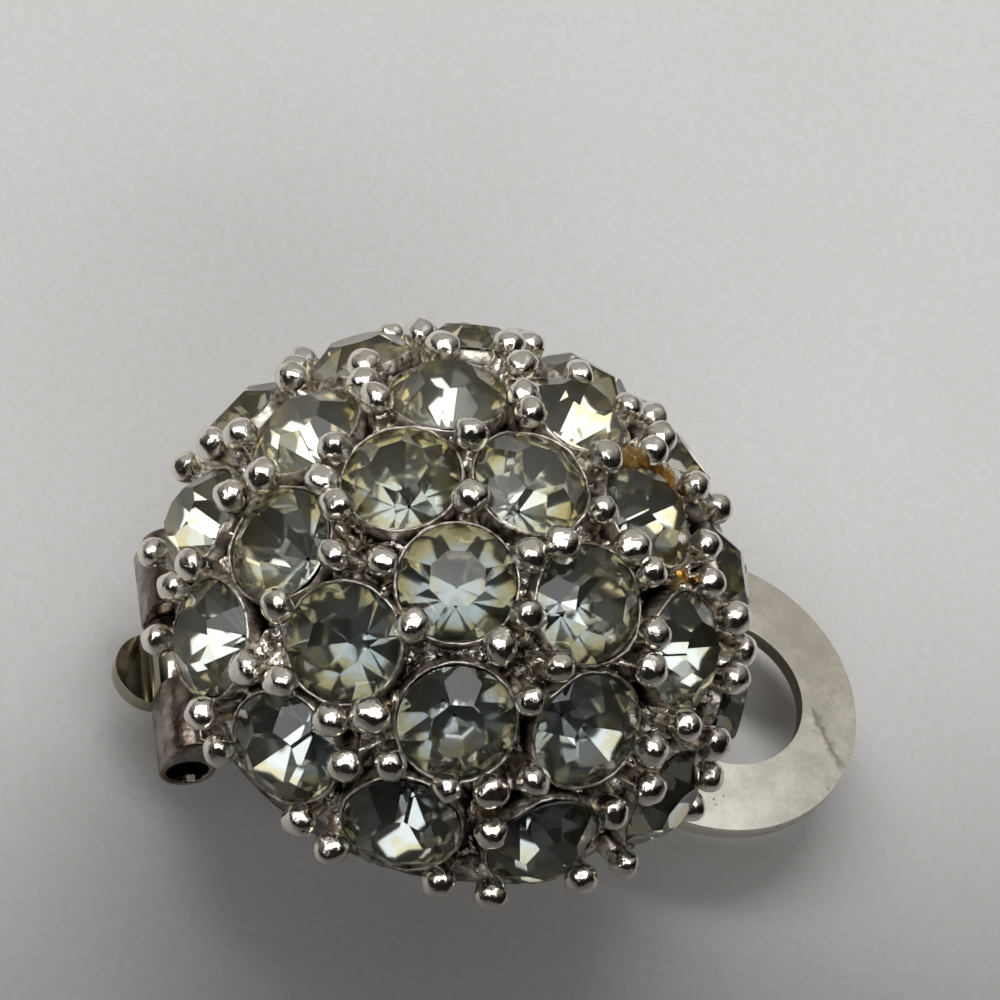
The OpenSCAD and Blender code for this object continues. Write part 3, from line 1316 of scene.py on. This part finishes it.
@dataclass
class Paddle:
    """The lever: round tail, barrel on the pin, bowed arm, disc with its hole.

    The tail widens to the arm between the two distances from the pin in widen_x.
    """

    thickness: float = 0.6
    hole_x: float = 11.5
    hole_r: float = 2.9
    tail_w: float = 2.7
    arm_w0: float = 3.6
    arm_w1: float = 6.8
    widen_x: tuple[float, float] = (1.2, 2.2)
    bow: float = 1.5
    bow_x: tuple[float, float] = (-4.0, 2.5)
    slope_l: float = 3.0
    slope_cuts: int = 12
    barrel_r: float = 0.85
    bore_r: float = 0.44
    barrel_l: float = 2.8
    barrel_edge: float = 0.08
    edge: float = 0.15
    arc_steps: int = 96
    tail_steps: int = 32
    barrel_steps: int = 48

    def arc(self, centre: float, r: float, start: float, end: float, steps: int) -> list[Vector]:
        """Returns points of an arc about a point of the X axis.

        Args:
            centre: x of its centre.
            r: its radius.
            start: first angle in degrees.
            end: last angle in degrees.
            steps: number of parts.

        Returns:
            The points in order.
        """
        angles = [math.radians(start + (end - start) * k / steps) for k in range(steps + 1)]
        return [Vector((centre + r * math.cos(a), r * math.sin(a), 0)) for a in angles]

    def outline(self) -> list[Vector]:
        """Draws the lever's outline.

        Returns:
            Its points, once around.
        """
        low, high = mm_box("paddle")
        disc_r = (high.y - low.y) / 2
        pin_x = sum(corner.x for corner in mm_box("hinge_pin")) / 2
        neck = math.degrees(math.asin(self.arm_w1 / 2 / disc_r))
        disc = self.arc(high.x - disc_r, disc_r, neck - 180, 180 - neck, self.arc_steps)
        side = [
            Vector((pin_x + self.widen_x[1], self.arm_w0 / 2, 0)),
            Vector((pin_x + self.widen_x[0], self.tail_w / 2, 0)),
        ]
        tail = self.arc(low.x + self.tail_w / 2, self.tail_w / 2, 90, 270, self.tail_steps)
        back = [Vector((p.x, -p.y, 0)) for p in reversed(side)]
        return disc + side + tail + back

    def rise(self, x: float) -> float:
        """Works out the bow.

        Args:
            x: a place along the lever.

        Returns:
            The height of the plate's underside there.
        """
        outside = max(self.bow_x[0] - x, x - self.bow_x[1], 0.0)
        share = min(1.0, outside / self.slope_l)
        return self.bow * (1 - math.cos(math.pi * share)) / 2

    def plate(self) -> bmesh.types.BMesh:
        """Makes the bowed plate with rounded edges and a hole whose wall is painted dark as shade.

        Returns:
            The plate.
        """
        bm = bmesh.new()
        edges = closed_ring(bm, self.outline())
        edges += closed_ring(bm, self.arc(self.hole_x, self.hole_r, 0, 360, self.arc_steps)[:-1])
        bmesh.ops.triangle_fill(bm, edges=edges, use_beauty=True, use_dissolve=False)
        for k in range(self.slope_cuts + 1):
            out = self.slope_l * k / self.slope_cuts
            for x in (self.bow_x[0] - out, self.bow_x[1] + out):
                slice_shape(bm, Vector((x, 0, 0)), Vector((1, 0, 0)), clear=False)
        raised = bmesh.ops.extrude_face_region(bm, geom=bm.faces[:])
        top = [v for v in raised["geom"] if isinstance(v, bmesh.types.BMVert)]
        bmesh.ops.translate(bm, vec=(0, 0, self.thickness), verts=top)
        bmesh.ops.recalc_face_normals(bm, faces=bm.faces)
        bevelled(bm, self.edge, math.radians(60))
        bm.faces.index_update()
        flat = [abs(f.normal.z) > 0.99 for f in bm.faces]
        hole = Vector((self.hole_x, 0, 0))
        for f in bm.faces:
            f.smooth = True
            in_hole = (f.calc_center_median() - hole).xy.length < self.hole_r + self.edge
            # the hole's upright wall is painted dark as shade
            f.material_index = 1 if in_hole and abs(f.normal.z) < 0.05 else 0
        for e in bm.edges:
            e.smooth = len({flat[f.index] for f in e.link_faces}) == 1
        for v in bm.verts:
            v.co.z += self.rise(v.co.x)
        return bm

    def build(self) -> None:
        """Makes the plate and the barrel."""
        bm = self.plate()
        middle = sum(mm_box("hinge_pin"), Vector()) / 2
        half, soft = self.barrel_l / 2, self.barrel_edge
        profile = [
            (self.bore_r, -half), (self.barrel_r - soft, -half), (self.barrel_r, -half + soft),
            (self.barrel_r, half - soft), (self.barrel_r - soft, half), (self.bore_r, half),
            (self.bore_r, -half),
        ]
        place = Matrix.Translation(middle) @ Matrix.Rotation(math.pi / 2, 4, "X")
        add_shape(bm, lathe(profile, self.barrel_steps), place)
        publish(bm, "clip_paddle", Body.CLIP, (CLIP_METAL, SHADED_WALL_METAL), ("paddle",))


@dataclass
class Glue:
    """Amber glue that crept over the edges of the stones near the clip's free end.

    A row for each drop: its place down the dome and around it in degrees, its radius and its
    height. Each swells here and there by a noise with swell_waves waves to a millimetre.
    """

    dome: Dome
    drops: tuple[tuple[float, float, float, float], ...] = (
        (20, 22, 0.42, 0.30), (24, 24, 0.60, 0.36), (28.5, 23, 0.52, 0.38), (33, 20, 0.56, 0.36),
        (36, 17, 0.46, 0.3), (33, 12.5, 0.4, 0.3), (36.5, 7.5, 0.42, 0.3), (38, -18, 0.3, 0.2),
    )
    skin_r: float = 9.72
    swell: float = 0.5
    swell_waves: float = 2.1

    def build(self) -> None:
        """Lays the drops on the bed."""
        bm = bmesh.new()
        for down, around, radius, height in self.drops:
            turn = Matrix.Rotation(math.radians(around), 4, "Z")
            turn @= Matrix.Rotation(math.radians(down), 4, "Y")
            lift = Matrix.Translation((0, 0, self.skin_r))
            shape = Matrix.Diagonal((radius, radius, height, 1))
            where = Matrix.Translation(self.dome.centre) @ turn @ lift @ shape
            drop = bmesh.ops.create_icosphere(bm, subdivisions=4, radius=1.0, matrix=where)
            for v in drop["verts"]:
                swell = noise.noise(v.co * self.swell_waves) * self.swell
                v.co += (v.co - where.translation) * swell
        for f in bm.faces:
            f.smooth = True
        publish(bm, "glue_residue", Body.CLUSTER, (GLUE,))


# The studio


class Reach(Enum):
    """What a light falls on: everything, matt surfaces only, or metal and glass only."""

    ALL = "all"
    MATT = "matt"
    SHINE = "shine"


@dataclass(frozen=True)
class Panel:
    """A soft light or a card, which faces the target from the direction toward.

    That direction is in the camera's terms: right, up and towards the camera. Lengths are
    in millimetres.
    """

    name: str
    toward: tuple[float, float, float]
    away: float
    size: tuple[float, float]
    power: float = 0.0
    reach: Reach = Reach.ALL


@dataclass
class Studio:
    """Pale table, soft lights and the camera at the photograph's viewing angle.

    Lengths are in millimetres. The table's top lies table_drop under the object. The room is
    bright towards bright_side, in the camera's terms, and dark on the other side.
    """

    target: Vector = field(default_factory=lambda: Vector((1.675, 3.566, 8.116)))
    azimuth: float = math.radians(-33.6)
    elevation: float = math.radians(52.27)
    roll: float = math.radians(30.76)
    away: float = 170.0
    view_angle: float = math.radians(11.304)
    table_w: float = 1600.0
    table_drop: float = 0.02
    bright_side: tuple[float, float, float] = (0.10, 0.90, 0.25)
    room_bright: Colour = (1.0, 0.98, 0.935, 1)
    room_dark: Colour = (0.30, 0.24, 0.19, 1)
    room_light: tuple[float, float] = (0.01, 0.40)
    room_span: tuple[float, float] = (0.0, 0.95)
    panels: tuple[Panel, ...] = (
        Panel("window", (0.0, 0.34, 1.0), 450, (560, 420), 2.0, Reach.SHINE),
        Panel("key", (0.053, 0.989, 0.134), 330, (420, 80), 1.3, Reach.MATT),
        Panel("fill", (0.32, -0.47, 0.82), 330, (400, 120), 0.55, Reach.MATT),
        Panel("glow", (0.52, 0.80, 0.30), 560, (240, 120), 0.045, Reach.SHINE),
    )
    cards: tuple[Panel, ...] = (
        Panel("viewer", (0.0, -0.80, 0.60), 400, (900, 520)),
        Panel("hand", (0.02, -0.12, 1.0), 430, (360, 270)),
    )

    @property
    def turn(self) -> Matrix:
        """The camera's turn.

        Returns:
            Its right, up and backward directions as columns.
        """
        sin_a, cos_a = math.sin(self.azimuth), math.cos(self.azimuth)
        sin_e, cos_e = math.sin(self.elevation), math.cos(self.elevation)
        level = Vector((cos_a, sin_a, 0))
        back = Vector((sin_a * cos_e, -cos_a * cos_e, sin_e))
        upright = back.cross(level)
        right = level * math.cos(self.roll) + upright * math.sin(self.roll)
        up = back.cross(right)
        return Matrix((right, up, back)).transposed()

    def build_camera(self) -> None:
        """Sets up the camera."""
        data = bpy.data.cameras.new("photo_camera")
        data.angle = self.view_angle
        data.clip_start, data.clip_end = 0.005, 10.0
        camera = add_object("photo_camera", data)
        back = self.turn.col[2]
        place = (self.target + back * self.away) * MM
        camera.matrix_world = Matrix.Translation(place) @ self.turn.to_4x4()
        bpy.context.scene.camera = camera

    def build_panel(self, panel: Panel) -> None:
        """Hangs one soft light.

        Args:
            panel: the light.
        """
        data = bpy.data.lights.new(panel.name, "AREA")
        data.shape = "RECTANGLE"
        data.size, data.size_y = panel.size[0] * MM, panel.size[1] * MM
        data.energy = panel.power
        light = add_object(panel.name, data)
        light.matrix_world = self.facing(panel)
        light.visible_camera = False
        light.visible_diffuse = panel.reach is not Reach.SHINE
        light.visible_glossy = light.visible_transmission = panel.reach is not Reach.MATT

    def facing(self, panel: Panel) -> Matrix:
        """Turns a panel to the object, level in the camera's view.

        Args:
            panel: the light or card.

        Returns:
            Its place and turn.
        """
        toward = (self.turn @ Vector(panel.toward)).normalized()
        side = self.turn.col[0] - toward * toward.dot(self.turn.col[0])
        side.normalize()
        turn = Matrix((side, toward.cross(side), toward)).transposed()
        return Matrix.Translation((self.target + toward * panel.away) * MM) @ turn.to_4x4()

    def build_card(self, card: Panel) -> None:
        """Stands one dark card, which the metal and the stones reflect.

        Args:
            card: the card.
        """
        bm = bmesh.new()
        bmesh.ops.create_grid(bm, x_segments=1, y_segments=1, size=0.5)
        bmesh.ops.scale(bm, vec=(card.size[0] * MM, card.size[1] * MM, 1), verts=bm.verts)
        bm.transform(self.facing(card))
        thing = add_mesh(bm, f"{card.name}_card", (DARK_CARD,))
        thing.visible_camera = False

    def build(self) -> None:
        """Builds the table, the lights and the camera."""
        bm = bmesh.new()
        bmesh.ops.create_grid(bm, x_segments=8, y_segments=8, size=self.table_w / 2 * MM)
        bmesh.ops.translate(bm, vec=(0, 0, -self.table_drop * MM), verts=bm.verts)
        add_mesh(bm, "table", (TABLE_TOP,))
        for panel in self.panels:
            self.build_panel(panel)
        for card in self.cards:
            self.build_card(card)
        self.build_room()
        bpy.context.scene.view_settings.view_transform = "Standard"
        self.build_camera()

    def build_room(self) -> None:
        """Lights the room softly from one side, and leaves its other side dim."""
        world = bpy.data.worlds.new("room")
        world.use_nodes = True
        nodes = Nodes(world.node_tree)
        place = nodes.add("ShaderNodeTexCoord").outputs["Generated"]
        bright_side = (self.turn @ Vector(self.bright_side)).normalized()
        toward = nodes.vector_math("DOT_PRODUCT", place, bright_side)["Value"]
        share = nodes.ramp(toward, *self.room_span)
        dim, strong = self.room_light
        background = nodes.add("ShaderNodeBackground", {
            "Color": nodes.mix(share, self.room_dark, self.room_bright),
            "Strength": nodes.add("ShaderNodeMapRange", {0: share, 3: dim, 4: strong}).outputs[0],
        })
        nodes.add("ShaderNodeOutputWorld", {"Surface": background.outputs[0]})
        bpy.context.scene.world = world


def main() -> None:
    """Builds the earring and its studio."""
    logging.basicConfig(level=logging.INFO, format="%(name)s %(message)s")
    dome = Dome()
    pieces = (
        Bed(dome), Cups(dome), Prongs(dome), BackBar(dome), StoneCut(dome), Bracket(),
        HingePin(), Paddle(), Glue(dome), Studio(),
    )
    for piece in pieces:
        piece.build()


if __name__ == "__main__":
    main()
